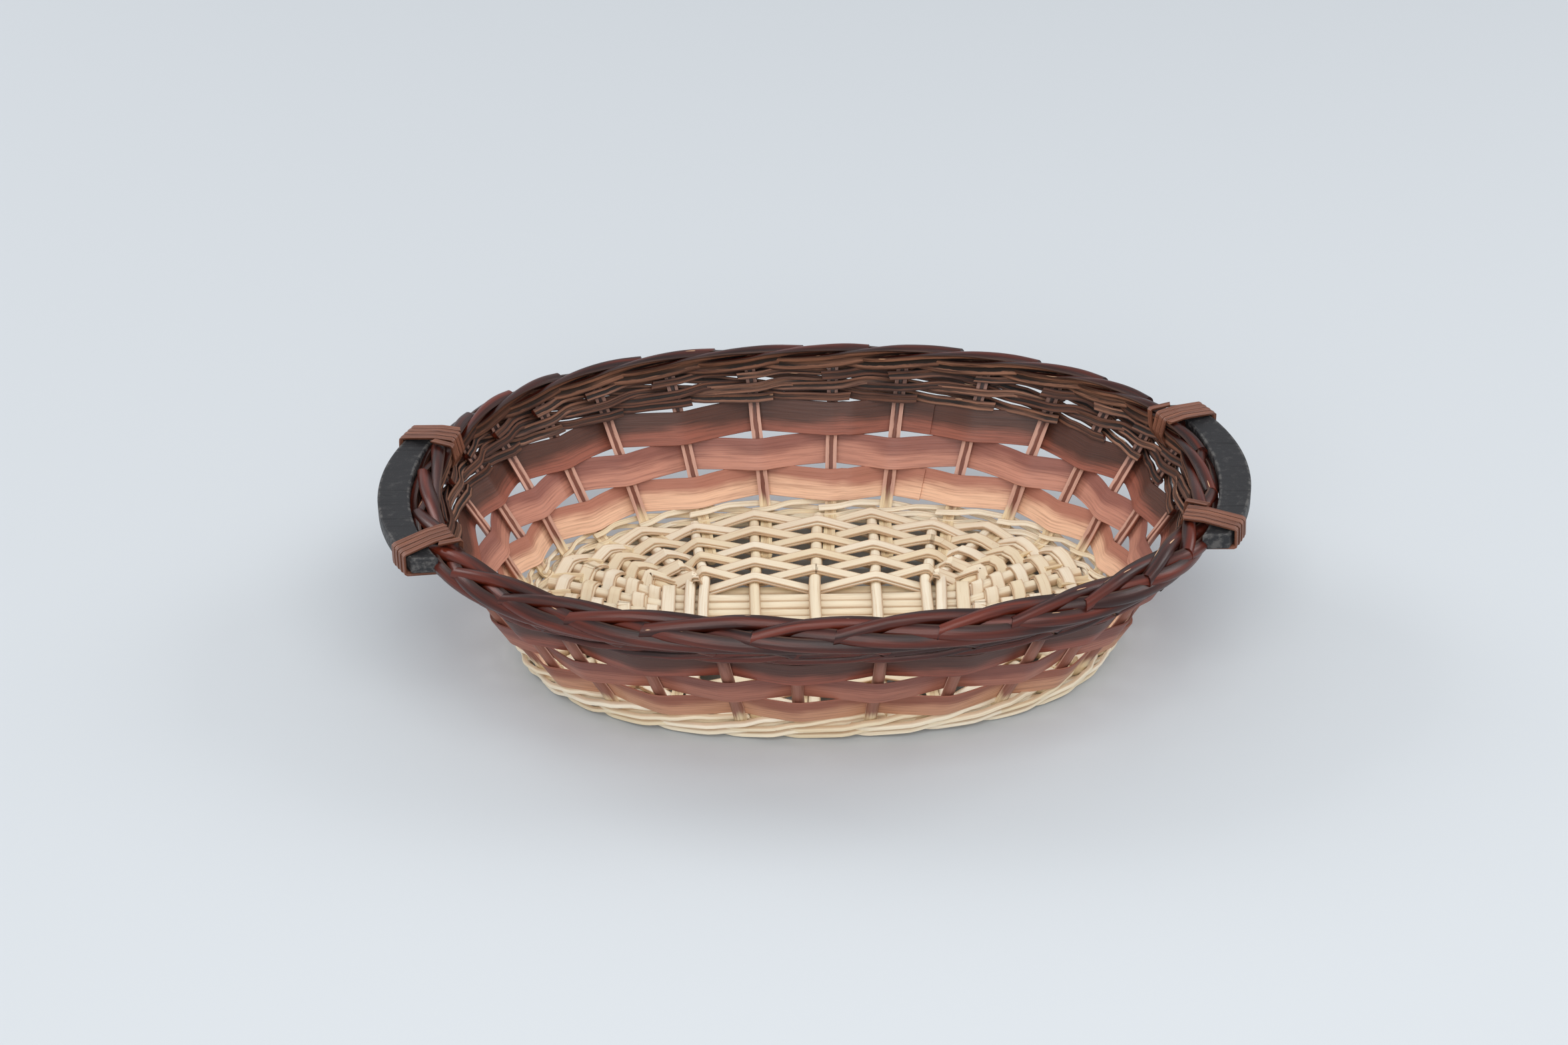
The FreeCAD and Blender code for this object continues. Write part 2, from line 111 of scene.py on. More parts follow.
def roundSection(facets=10):
    turns = [2 * math.pi * k / facets for k in range(facets)]
    return [(math.cos(turn), math.sin(turn)) for turn in turns]


def ribbonSection(spread=1):
    face = 0.97  # the flat face stops short of the thin edge
    top = [(face - 2 * face * k / (spread + 1), 1) for k in range(spread + 2)]
    bottom = [(-x, -1) for x, _ in top]
    return top + [(-1, 0)] + bottom + [(1, 0)]


def newRods():
    mesh = bmesh.new()
    mesh.verts.layers.float_vector.new("lay")
    mesh.verts.layers.float.new("tone")
    mesh.verts.layers.int.new("corner")
    return mesh


def layRod(whole, section, points, guides, width, thickness, slant=0.0, taper=1.0, facing=1):
    # sweeps the section along the points, its width towards the guides; "lay" keeps where on the
    # rod a point is: across, through and along it
    mesh = newRods()
    lay = mesh.verts.layers.float_vector["lay"]
    toneLayer = mesh.verts.layers.float["tone"]
    corner = mesh.verts.layers.int["corner"]
    tone = random.random()
    last = len(points) - 1
    along = random.random()
    for i, point in enumerate(points):
        tangent = (points[min(i + 1, last)] - points[max(i - 1, 0)]).normalized()
        guide = guides[i] if isinstance(guides, list) else guides
        across = (guide - tangent * guide.dot(tangent)).normalized()
        through = tangent.cross(across)
        if i == 0:
            ring = [mesh.verts.new(point) for _ in section]
            for k, vert in enumerate(ring):
                vert[corner] = k
            edges = list(mesh.faces.new(ring).edges)
        else:
            along += (point - points[i - 1]).length
            grown = bmesh.ops.extrude_edge_only(mesh, edges=edges)["geom"]
            ring = [item for item in grown if isinstance(item, bmesh.types.BMVert)]
            fresh = set(ring)
            edges = [item for item in grown
                     if isinstance(item, bmesh.types.BMEdge) and fresh.issuperset(item.verts)]
        share = i / last
        scale = 1 + (taper - 1) * share
        end = -1 if i == 0 else (1 if i == last else 0)
        for vert in ring:
            x, y = section[vert[corner]]
            y *= facing
            vert.co = point + across * (x * width * scale / 2) + through * (y * thickness * scale / 2)
            vert.co += tangent * (end * slant * x * width / 2)
            vert[lay] = (x, y * facing, along)
            vert[toneLayer] = tone
    bmesh.ops.contextual_create(mesh, geom=edges)
    rod = bpy.data.meshes.new("rod")
    mesh.to_mesh(rod)
    mesh.free()
    whole.from_mesh(rod)
    bpy.data.meshes.remove(rod)


def smoothed(points, times=2):
    for _ in range(times):
        cut = [points[0]]
        for here, there in zip(points, points[1:]):
            cut.append(here.lerp(there, 0.25))
            cut.append(here.lerp(there, 0.75))
        points = cut + [points[-1]]
    return points


def finishPiece(mesh, name, material, nodes, sharpAngle=38):
    bmesh.ops.recalc_face_normals(mesh, faces=mesh.faces)
    data = bpy.data.meshes.new(name)
    mesh.to_mesh(data)
    mesh.free()
    data.shade_smooth()
    data.set_sharp_from_angle(angle=math.radians(sharpAngle))
    data.materials.append(material)
    piece = bpy.data.objects.new(name, data)
    bpy.context.collection.objects.link(piece)
    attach(piece, "root")
    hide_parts(*nodes)


def colour(red, green, blue):
    # screen values from 0 to 255 to linear light
    return tuple((value / 255) ** 2.2 for value in (red, green, blue)) + (1.0,)


class Nodes:
    # short calls for one node tree

    def __init__(self, tree):
        self.tree = tree

    def add(self, kind, values=None, **settings):
        node = self.tree.nodes.new(kind)
        for key, value in settings.items():
            setattr(node, key, value)
        for key, value in (values or {}).items():
            self.feed(node.inputs[key], value)
        return node

    def feed(self, socket, value):
        if isinstance(value, bpy.types.NodeSocket):
            self.tree.links.new(value, socket)
        else:
            socket.default_value = value

    def math(self, operation, first, second=0.0):
        return self.add("ShaderNodeMath", {0: first, 1: second}, operation=operation).outputs[0]

    def mix(self, share, first, second, blend="MIX"):
        node = self.add("ShaderNodeMix", data_type="RGBA", blend_type=blend)
        self.feed(node.inputs["Factor"], share)
        self.feed(node.inputs[6], first)
        self.feed(node.inputs[7], second)
        return node.outputs[2]

    def ramp(self, share, low, high):
        return self.add("ShaderNodeMapRange", {"Value": share, "From Min": low, "From Max": high},
                        interpolation_type="SMOOTHSTEP").outputs["Result"]

    def noise(self, vector, scale, detail=3.0, rough=0.55):
        values = {"Vector": vector, "Scale": scale, "Detail": detail, "Roughness": rough}
        return self.add("ShaderNodeTexNoise", values).outputs["Fac"]

    def scaled(self, vector, x, y, z):
        return self.add("ShaderNodeVectorMath", {0: vector, 1: (x, y, z)}, operation="MULTIPLY").outputs[0]

    def attribute(self, name, output):
        node = self.add("ShaderNodeAttribute", attribute_name=name, attribute_type="GEOMETRY")
        return node.outputs[output]

    def part(self, vector, axis):
        return self.add("ShaderNodeSeparateXYZ", {0: vector}).outputs[axis]

    def place(self):
        return self.add("ShaderNodeTexCoord").outputs["Object"]

    def linear(self, value, share, start):
        return self.math("ADD", self.math("MULTIPLY", value, share), start)

    def swing(self, value, share):
        # a mask from 0 to 1 turned into a swing to both sides of nothing
        return self.math("MULTIPLY", self.math("SUBTRACT", value, 0.5), share)

    def edge(self, low, high):
        # 1 along both long edges of a rod
        across = self.part(self.attribute("lay", "Vector"), 0)
        return self.ramp(self.math("ABSOLUTE", across), low, high)

    def tint(self, base, mask, strength, shade):
        return self.mix(self.math("MULTIPLY", mask, strength), base, colour(*shade))


def newGroup(name, inputs, outputs):
    tree = bpy.data.node_groups.new(name, "ShaderNodeTree")
    for title, kind, start in inputs:
        socket = tree.interface.new_socket(title, in_out="INPUT", socket_type=kind)
        if start is not None:
            socket.default_value = start
    for title, kind in outputs:
        tree.interface.new_socket(title, in_out="OUTPUT", socket_type=kind)
    nodes = Nodes(tree)
    return nodes, nodes.add("NodeGroupInput").outputs, nodes.add("NodeGroupOutput").inputs


def makeFibreGroup():
    # streaks that run along a rod, from 0 to 1
    nodes, given, result = newGroup(
        "willowFibre",
        [("Across Scale", "NodeSocketFloat", 3.0), ("Along Scale", "NodeSocketFloat", 30.0)],
        [("Fibre", "NodeSocketFloat"), ("Patch", "NodeSocketFloat")])
    lay = nodes.attribute("lay", "Vector")
    tone = nodes.attribute("tone", "Fac")
    parts = nodes.add("ShaderNodeSeparateXYZ", {0: lay})
    x = nodes.math("MULTIPLY", parts.outputs[0], given["Across Scale"])
    y = nodes.math("MULTIPLY", parts.outputs[1], given["Across Scale"])
    z = nodes.math("MULTIPLY", parts.outputs[2], given["Along Scale"])
    apart = nodes.math("MULTIPLY", tone, 50.0)  # no two rods share their streaks
    place = nodes.add("ShaderNodeCombineXYZ", {0: x, 1: y, 2: nodes.math("ADD", z, apart)})
    nodes.feed(result["Fibre"], nodes.noise(place.outputs[0], 1.0, 4.0, 0.65))
    wide = nodes.scaled(place.outputs[0], 0.3, 0.3, 0.7)
    nodes.feed(result["Patch"], nodes.noise(wide, 1.0, 2.0, 0.5))
    return nodes.tree


def makePithGroup():
    # 1 along the ragged dark pith line of a split face, and 1 over the whole split face
    nodes, given, result = newGroup(
        "pithLine", [("Half Width", "NodeSocketFloat", 0.34)],
        [("Pith", "NodeSocketFloat"), ("Split Face", "NodeSocketFloat")])
    lay = nodes.attribute("lay", "Vector")
    parts = nodes.add("ShaderNodeSeparateXYZ", {0: lay})
    rag = nodes.noise(nodes.scaled(lay, 1.5, 0.2, 120.0), 1.0, 3.0, 0.6)
    offset = nodes.math("ADD", nodes.math("ABSOLUTE", parts.outputs[0]), nodes.swing(rag, 0.5))
    edge = nodes.math("ADD", given["Half Width"], 0.1)
    limits = {"Value": offset, "From Min": edge, "From Max": given["Half Width"]}
    inside = nodes.add("ShaderNodeMapRange", limits)
    face = nodes.ramp(parts.outputs[1], 0.55, 0.75)
    nodes.feed(result["Pith"], nodes.math("MULTIPLY", inside.outputs["Result"], face))
    nodes.feed(result["Split Face"], face)
    return nodes.tree


fibreGroup = makeFibreGroup()
pithGroup = makePithGroup()


def newMaterial(name, roughness, specular=0.5, coatRoughness=None):
    material = bpy.data.materials.new(name)
    material.use_nodes = True
    nodes = Nodes(material.node_tree)
    shader = material.node_tree.nodes["Principled BSDF"]
    shader.inputs["Roughness"].default_value = roughness
    shader.inputs["Specular IOR Level"].default_value = specular
    if coatRoughness is not None:
        shader.inputs["Coat Roughness"].default_value = coatRoughness
    return material, nodes, shader


def addFibre(nodes, acrossScale, alongScale):
    node = nodes.add("ShaderNodeGroup", node_tree=fibreGroup)
    node.inputs["Across Scale"].default_value = acrossScale
    node.inputs["Along Scale"].default_value = alongScale
    return node.outputs["Fibre"], node.outputs["Patch"]


def addPith(nodes, halfWidth):
    node = nodes.add("ShaderNodeGroup", node_tree=pithGroup)
    node.inputs["Half Width"].default_value = halfWidth
    return node.outputs["Pith"], node.outputs["Split Face"]


def addBump(nodes, shader, height, strength, distance):
    bump = nodes.add("ShaderNodeBump", {"Height": height, "Strength": strength, "Distance": distance})
    nodes.feed(shader.inputs["Normal"], bump.outputs["Normal"])


whiteLook = {
    "pale": (249, 237, 214), "cream": (239, 221, 187), "tan": (216, 186, 146), "knot": (120, 86, 60),
    # the last colour is painted shade for the long edges of each rod, where rods meet
    "rim": (190, 150, 112),
}


def makeWhiteWillow():
    material, nodes, shader = newMaterial("whiteWillow", 0.5, 0.4)
    fibre, patch = addFibre(nodes, 3.0, 26.0)
    tone = nodes.attribute("tone", "Fac")
    base = nodes.mix(tone, colour(*whiteLook["pale"]), colour(*whiteLook["cream"]))
    base = nodes.tint(base, nodes.ramp(fibre, 0.5, 0.75), 0.7, whiteLook["tan"])
    base = nodes.tint(base, nodes.ramp(patch, 0.55, 0.8), 0.45, whiteLook["tan"])
    spots = nodes.noise(nodes.place(), 190.0, 2.0)
    base = nodes.tint(base, nodes.ramp(spots, 0.74, 0.8), 0.6, whiteLook["knot"])
    # painted shade along both long edges of each rod, where rods meet
    base = nodes.tint(base, nodes.edge(0.68, 1.0), 0.75, whiteLook["rim"])
    nodes.feed(shader.inputs["Base Color"], base)
    nodes.feed(shader.inputs["Roughness"], nodes.linear(fibre, 0.25, 0.36))
    addBump(nodes, shader, fibre, 0.35, 0.0006)
    return material


stakeLook = {
    "natural": (238, 216, 176), "edge": (204, 157, 138), "groove": (118, 70, 55), "top": (156, 116, 102),
    "topGroove": (56, 40, 37), "bark": (150, 100, 84), "topBark": (70, 36, 28),
    "streak": (90, 52, 42),
    "fadeLow": 0.011, "fadeHigh": 0.019, "darkLow": 0.05, "darkHigh": 0.068,
}


def makeStakeWood():
    material, nodes, shader = newMaterial("stakeWood", 0.45, 0.45)
    fibre, patch = addFibre(nodes, 3.0, 40.0)
    pith, face = addPith(nodes, 0.3)
    height = nodes.math("ADD", nodes.part(nodes.place(), 2), nodes.swing(patch, 0.02))
    dyed = nodes.ramp(height, stakeLook["fadeLow"], stakeLook["fadeHigh"])
    dark = nodes.ramp(height, stakeLook["darkLow"], stakeLook["darkHigh"])
    edge = nodes.mix(dark, colour(*stakeLook["edge"]), colour(*stakeLook["top"]))
    groove = nodes.mix(dark, colour(*stakeLook["groove"]), colour(*stakeLook["topGroove"]))
    bark = nodes.mix(dark, colour(*stakeLook["bark"]), colour(*stakeLook["topBark"]))
    stain = nodes.mix(face, bark, nodes.mix(pith, edge, groove))
    plain = nodes.tint(colour(*stakeLook["natural"]), pith, 0.6, whiteLook["tan"])
    base = nodes.mix(dyed, plain, stain)
    base = nodes.tint(base, nodes.ramp(fibre, 0.45, 0.75), 0.35, stakeLook["streak"])
    nodes.feed(shader.inputs["Base Color"], base)
    nodes.feed(shader.inputs["Roughness"], nodes.linear(fibre, 0.3, 0.3))
    addBump(nodes, shader, fibre, 0.35, 0.0005)
    return material


stripLooks = [
    # from the bottom strip up; "edge" is where the dip ended, and the last entry is painted shade that
    # darkens the outward face
    {"low": (248, 200, 166), "high": (180, 120, 100), "streak": (140, 88, 70), "edge": 0.05,
     "outside": (0.68, 0.54, 0.48)},
    {"low": (202, 142, 121), "high": (150, 97, 85), "streak": (108, 65, 57), "edge": 0.0,
     "outside": (0.70, 0.57, 0.53)},
    {"low": (154, 92, 75), "high": (84, 53, 43), "streak": (54, 37, 33), "edge": -0.3,
     "outside": (0.88, 0.72, 0.68)},
]


def makeStripWood(number, look):
    # a strip dipped in stain: paler below a wavering line, darker above it
    material, nodes, shader = newMaterial(f"stripWood{number}", 0.42, 0.5)
    fibre, patch = addFibre(nodes, 9.0, 34.0)
    lay = nodes.attribute("lay", "Vector")
    parts = nodes.add("ShaderNodeSeparateXYZ", {0: lay})
    waver = nodes.noise(nodes.scaled(lay, 0.25, 0.0, 16.0), 1.0, 3.0, 0.5)
    line = nodes.math("ADD", parts.outputs[0], nodes.swing(waver, 2.4))
    line = nodes.math("ADD", line, nodes.swing(fibre, 0.5))
    dyed = nodes.ramp(line, look["edge"] - 0.35, look["edge"] + 0.45)
    base = nodes.mix(dyed, colour(*look["low"]), colour(*look["high"]))
    base = nodes.tint(base, nodes.ramp(fibre, 0.42, 0.75), 0.5, look["streak"])
    base = nodes.tint(base, nodes.ramp(patch, 0.5, 0.8), 0.35, look["streak"])
    # painted shade: the outward face of each strip is multiplied darker
    base = nodes.mix(nodes.ramp(parts.outputs[1], -0.2, 0.6), base, (*look["outside"], 1.0), "MULTIPLY")
    nodes.feed(shader.inputs["Base Color"], base)
    nodes.feed(shader.inputs["Roughness"], nodes.linear(fibre, 0.25, 0.32))
    addBump(nodes, shader, fibre, 0.3, 0.0004)
    return material


darkLook = {
    # "deep" darkens random patches, grain and tone, and is also painted shade along the rod edges
    "bark": (106, 43, 27), "deep": (32, 13, 10), "split": (100, 62, 45), "paleSplit": (158, 114, 92),
    "streak": (62, 38, 31), "pith": (30, 22, 20), "scratch": (206, 164, 128), "glossRoughness": 0.3,
    "coat": 0.12,
}


def makeDarkWillow():
    material, nodes, shader = newMaterial("darkWillow", 0.35, 0.42, coatRoughness=0.2)
    fibre, patch = addFibre(nodes, 2.2, 30.0)
    pith, face = addPith(nodes, 0.3)
    tone = nodes.attribute("tone", "Fac")
    bark = nodes.tint(colour(*darkLook["bark"]), nodes.ramp(patch, 0.35, 0.7), 0.85, darkLook["deep"])
    bark = nodes.tint(bark, nodes.ramp(fibre, 0.45, 0.8), 0.6, darkLook["deep"])
    bark = nodes.tint(bark, tone, 0.35, darkLook["deep"])
    paleness = nodes.math("POWER", tone, 1.6)
    split = nodes.mix(paleness, colour(*darkLook["split"]), colour(*darkLook["paleSplit"]))
    split = nodes.mix(nodes.ramp(fibre, 0.35, 0.7), split, colour(*darkLook["streak"]))
    shadow = nodes.linear(nodes.ramp(patch, 0.35, 0.6), 0.55, 0.45)
    split = nodes.mix(nodes.math("MULTIPLY", pith, shadow), split, colour(*darkLook["pith"]))
    base = nodes.mix(face, bark, split)
    # painted shade in the crevices along both long edges of each rod
    base = nodes.tint(base, nodes.edge(0.68, 0.98), 0.8, darkLook["deep"])
    chips = nodes.noise(nodes.scaled(nodes.attribute("lay", "Vector"), 1.6, 1.6, 55.0), 1.0, 2.0, 0.4)
    chips = nodes.ramp(nodes.math("ADD", chips, nodes.math("MULTIPLY", tone, 0.04)), 0.79, 0.81)
    base = nodes.mix(chips, base, colour(*darkLook["scratch"]))
    nodes.feed(shader.inputs["Base Color"], base)
    matt = nodes.linear(face, 0.28, darkLook["glossRoughness"])
    nodes.feed(shader.inputs["Roughness"], nodes.math("ADD", matt, nodes.math("MULTIPLY", fibre, 0.12)))
    onBark = nodes.math("SUBTRACT", 1.0, face)
    nodes.feed(shader.inputs["Coat Weight"], nodes.math("MULTIPLY", onBark, darkLook["coat"]))
    addBump(nodes, shader, fibre, 0.4, 0.0006)
    return material


paintLook = {"paint": (40, 40, 42), "worn": (92, 90, 88), "scuff": (66, 65, 65), "saw": (16, 16, 17)}


def makeBlackPaint():
    material, nodes, shader = newMaterial("blackPaint", 0.6, 0.4)
    place = nodes.place()
    saw = nodes.noise(nodes.scaled(place, 18.0, 620.0, 18.0), 1.0, 3.0, 0.6)
    mottle = nodes.noise(place, 240.0, 5.0, 0.7)
    worn = nodes.attribute("worn", "Fac")
    scuffed = nodes.ramp(mottle, 0.5, 0.75)
    base = nodes.mix(scuffed, colour(*paintLook["paint"]), colour(*paintLook["scuff"]))
    rub = nodes.math("MULTIPLY", nodes.ramp(worn, 0.4, 1.0), nodes.ramp(mottle, 0.42, 0.62))
    base = nodes.tint(base, rub, 0.8, paintLook["worn"])
    base = nodes.tint(base, nodes.ramp(saw, 0.55, 0.7), 0.6, paintLook["saw"])
    nodes.feed(shader.inputs["Base Color"], base)
    nodes.feed(shader.inputs["Roughness"], nodes.linear(mottle, 0.3, 0.42))
    addBump(nodes, shader, nodes.math("ADD", nodes.math("MULTIPLY", saw, -0.8), mottle), 0.5, 0.0006)
    return material


lashingLook = {"light": (138, 90, 70), "dark": (84, 50, 38), "deep": (52, 28, 22)}


def makeLashingWillow():
    material, nodes, shader = newMaterial("lashingWillow", 0.4, 0.5)
    fibre, patch = addFibre(nodes, 2.6, 36.0)
    streaks = nodes.ramp(fibre, 0.35, 0.7)
    base = nodes.mix(streaks, colour(*lashingLook["light"]), colour(*lashingLook["dark"]))
    base = nodes.tint(base, nodes.ramp(patch, 0.5, 0.75), 0.4, lashingLook["deep"])
    nodes.feed(shader.inputs["Base Color"], base)
    nodes.feed(shader.inputs["Roughness"], nodes.linear(fibre, 0.25, 0.28))
    addBump(nodes, shader, fibre, 0.4, 0.0005)
    return material


whiteWillow = makeWhiteWillow()
stakeWood = makeStakeWood()
stripWoods = [makeStripWood(number + 1, look) for number, look in enumerate(stripLooks)]
darkWillow = makeDarkWillow()
blackPaint = makeBlackPaint()
lashingWillow = makeLashingWillow()
print("materials ready")

floor = {
    "stickWidth": 0.0062,
    "stickPitch": 0.0066,
    "panelHalfLength": 0.072,
    "crossPlaces": [-0.064, -0.057, -0.031, 0.0, 0.031, 0.057, 0.064],
    "longLevel": 0.0048,
    "crossLevel": 0.011,
    # a stick ends beside its stake: how high, how far inside the stake line and how far beside
    "endLevel": 0.0079,
    "endGap": 0.0057,
    "sideGap": 0.0062,
    # rounds of two-ply skein, and by how many sticks each starts further on
    "rows": 9,
    "startStep": 7,
    "skeinWidth": 0.0068,
    "skeinThickness": 0.0007,
    # where the rounds begin past the panel's long edges and its ends, and where they stop
    "crossMargin": -0.008,
    "fanMargin": 0.008,
    "endMargin": -0.001,
    # skein points stay above this level, and what still hangs lower keeps this share of its depth
    "underside": 0.0010,
    "pressed": 0.35,
    "stickSway": 0.0005,
    "stickRipple": 0.00015,
    "skeinJitter": 0.0006,
    "plyShift": 0.0007,
    "plyStep": 1.5,
    "endSkeinWidth": 0.0072,
    "endSkeinPlace": 0.0035,
}
crossCount = len(floor["crossPlaces"])
longCount = 8
panelHalfWidth = longCount / 2 * floor["stickPitch"]


def stickEnd(index):
    foot = wallPoint(index, wall["floorLevel"])
    out = wallOut(index, wall["floorLevel"])
    end = foot + up.cross(out) * floor["sideGap"] - out * floor["endGap"]
    end.z = floor["endLevel"]
    return end


def crossRuns():
    runs = []
    for number, x in enumerate(floor["crossPlaces"]):
        fromMiddle = number - crossCount // 2
        front, back = backMiddle + halfCount + fromMiddle, backMiddle - fromMiddle
        low = Vector((x, -panelHalfWidth, floor["crossLevel"]))
        high = Vector((x, panelHalfWidth, floor["crossLevel"]))
        runs.append((front, low, high, back))
    return runs


def longRuns():
    runs = []
    half = floor["panelHalfLength"]
    middle = longCount // 2
    for number in range(longCount):
        y = (number - (longCount - 1) / 2) * floor["stickPitch"]
        left = halfCount + middle - 1 - number
        right = (stakeCount + number - middle) % stakeCount
        near = Vector((-half, y, floor["longLevel"]))
        far = Vector((half, y, floor["longLevel"]))
        runs.append((left, near, far, right))
    return runs


def makeStick(kind, number, run, sideways):
    first, start, end, last = run
    mesh = newRods()
    line = [stickEnd(first), stickEnd(first).lerp(start, 0.85), start, end,
            stickEnd(last).lerp(end, 0.85), stickEnd(last)]
    points = []
    for here, there in zip(line, line[1:]):
        points += [here.lerp(there, k / 4) for k in range(4)]
    points = smoothed(points + [line[-1]], 2)
    wander = random.uniform(0, 6)
    for i, point in enumerate(points):
        point.z += floor["stickRipple"] * math.sin(i * 0.5 + wander)
        if kind == "cross":
            point.x += floor["stickSway"] * math.sin(i * 0.21 + wander)
    width = floor["stickWidth"] * random.uniform(0.94, 1.06)
    taper = random.uniform(0.88, 0.98)
    layRod(mesh, roundSection(12), points, sideways, width, width, slant=0.1, taper=taper)
    name, node = f"{kind}Stick{number}", f"{kind}_stick_{number}"
    finishPiece(mesh, name, whiteWillow, [node])


def makeSticks():
    for number, run in enumerate(crossRuns(), start=1):
        makeStick("cross", number, run, Vector((1, 0, 0)))
    for number, run in enumerate(longRuns(), start=1):
        makeStick("long", number, run, Vector((0, 1, 0)))


def floorSpokes():
    # for each station, where its stick leaves the panel, where it ends and the first row's margin
    spokes = {}
    for front, low, high, back in crossRuns():
        spokes[back] = (high, stickEnd(back), floor["crossMargin"])
        spokes[front] = (low, stickEnd(front), floor["crossMargin"])
    for left, near, far, right in longRuns():
        spokes[left] = (near, stickEnd(left), floor["fanMargin"])
        spokes[right] = (far, stickEnd(right), floor["fanMargin"])
    return [spokes[i] for i in range(stakeCount)]


def skeinRow(mesh, row, spokes, layer):
    # one flat skein, over one stick and under the next, bent sharply over each stick
    half = floor["skeinWidth"] / 2
    reach = floor["stickWidth"] / 2 + floor["skeinThickness"] * 0.7
    crossings = []
    for i, (inner, outer, margin) in enumerate(spokes):
        direction = (outer - inner).normalized()
        run = (outer - inner).length - margin - floor["endMargin"] - 2 * half
        place = inner + direction * (margin + half + run * row / (floor["rows"] - 1))
        place += direction * random.uniform(-floor["skeinJitter"], floor["skeinJitter"])
        side = 1 if (i + row) % 2 == 0 else -1
        crossings.append((place, direction, side))
    points, guides = [], []
    first = (row * floor["startStep"]) % stakeCount
    for step in range(stakeCount + 1):
        i = (first + step) % stakeCount
        place, direction, side = crossings[i]
        place = place + direction * (layer * floor["plyShift"])
        chord = crossings[(i + 1) % stakeCount][0] - crossings[i - 1][0]
        chord.z = 0
        chord.normalize()
        before = (place - crossings[i - 1][0]).length
        ply = layer if side > 0 else layer - 1
        lift = side * reach + ply * floor["skeinThickness"] * floor["plyStep"]
        # from the fourth round on, the foot of a stake lies beside the stick
        footBeside = row >= 3
        beside = 0.6 if footBeside else 0.9
        back = min(floor["sideGap"] if footBeside else 0.0018, before * 0.4)
        for shift, share in ((-back, beside), (-0.0003, 1.0), (0.0016, 0.96)):
            point = place + chord * shift + up * lift * share
            point.z = max(point.z, floor["underside"] + layer * floor["skeinThickness"])
            points.append(point)
            guides.append(direction)
    # one smoothing doubles the points, so each guide serves twice
    points = smoothed(points, 1)
    guides = [guide for guide in guides for _ in range(2)]
    width = floor["skeinWidth"] * random.uniform(0.92, 1.05)
    layRod(mesh, ribbonSection(), points, guides, width, floor["skeinThickness"], slant=0.2)


def makeFloorWeave():
    mesh = newRods()
    spokes = floorSpokes()
    for row in range(floor["rows"]):
        for layer in (0, 1):
            skeinRow(mesh, row, spokes, layer)
    # one flat skein across the bundle at each end of the panel, bent down at its sides
    top = floor["longLevel"] + floor["stickWidth"] / 2 + floor["skeinThickness"]
    reach = panelHalfWidth + 0.001
    bend = [(reach + 0.002, 0.006), (reach, 0.001), (reach - 0.003, 0.0)]
    for side in (-1, 1):
        x = side * (floor["panelHalfLength"] + floor["endSkeinPlace"])
        line = [Vector((x, -y, top - drop)) for y, drop in bend]
        line += [Vector((x, 0, top))]
        line += [Vector((x, y, top - drop)) for y, drop in reversed(bend)]
        layRod(mesh, ribbonSection(), smoothed(line, 2), Vector((1, 0, 0)), floor["endSkeinWidth"],
               floor["skeinThickness"])
    for vert in mesh.verts:
        if vert.co.z < floor["underside"]:
            vert.co.z = floor["underside"] + (vert.co.z - floor["underside"]) * floor["pressed"]
    finishPiece(mesh, "floorSkeins", whiteWillow, ["floor_skeins"])


stake = {
    "width": 0.0062,
    "thickness": 0.0034,
    # how far a stake's foot runs in beside its stick
    "crossFoot": 0.044,
    "fanFoot": 0.02,
    "top": 0.079,
    "bow": 0.0007,
    "runs": 6,
}


def makeStakes():
    spokes = floorSpokes()
    for i in range(stakeCount):
        mesh = newRods()
        inner, outer, _ = spokes[i]
        inward = inner - outer
        inward.z = 0
        inward.normalize()
        heel = wallPoint(i, wall["floorLevel"])
        foot = stake["fanFoot"] if abs(outer.x) > floor["panelHalfLength"] else stake["crossFoot"]
        line = [heel + inward * foot + up * 0.003, heel + inward * 0.012 + up * 0.002, heel]
        for k in range(1, stake["runs"] + 1):
            z = wall["floorLevel"] + (stake["top"] - wall["floorLevel"]) * k / stake["runs"]
            bow = stake["bow"] * math.sin(math.pi * k * 0.5 + i * math.pi)
            line.append(wallPoint(i + random.uniform(-0.006, 0.006), z, bow))
        sideways = up.cross(wallOut(i, 0.04))
        width = stake["width"] * random.uniform(0.94, 1.06)
        layRod(mesh, splitSection(), smoothed(line, 2), sideways, width, stake["thickness"], taper=0.93)
        name, node = f"sideStake{i + 1:02d}", f"side_stake_{i + 1:02d}"
        finishPiece(mesh, name, stakeWood, [node])


strips = {
    "bottoms": [0.0142, 0.0303, 0.0464],
    "height": 0.0171,
    "topExtra": 0.0008,
    "thickness": 0.0009,
    "wave": 0.0036,
    # where each strip's ends meet and how far they overlap, in stakes
    "joints": [5.52, 15.45, 5.55],
    "overlap": 1.2,
    "middle": 0.0077,
    "pointsPerStake": 10,
}


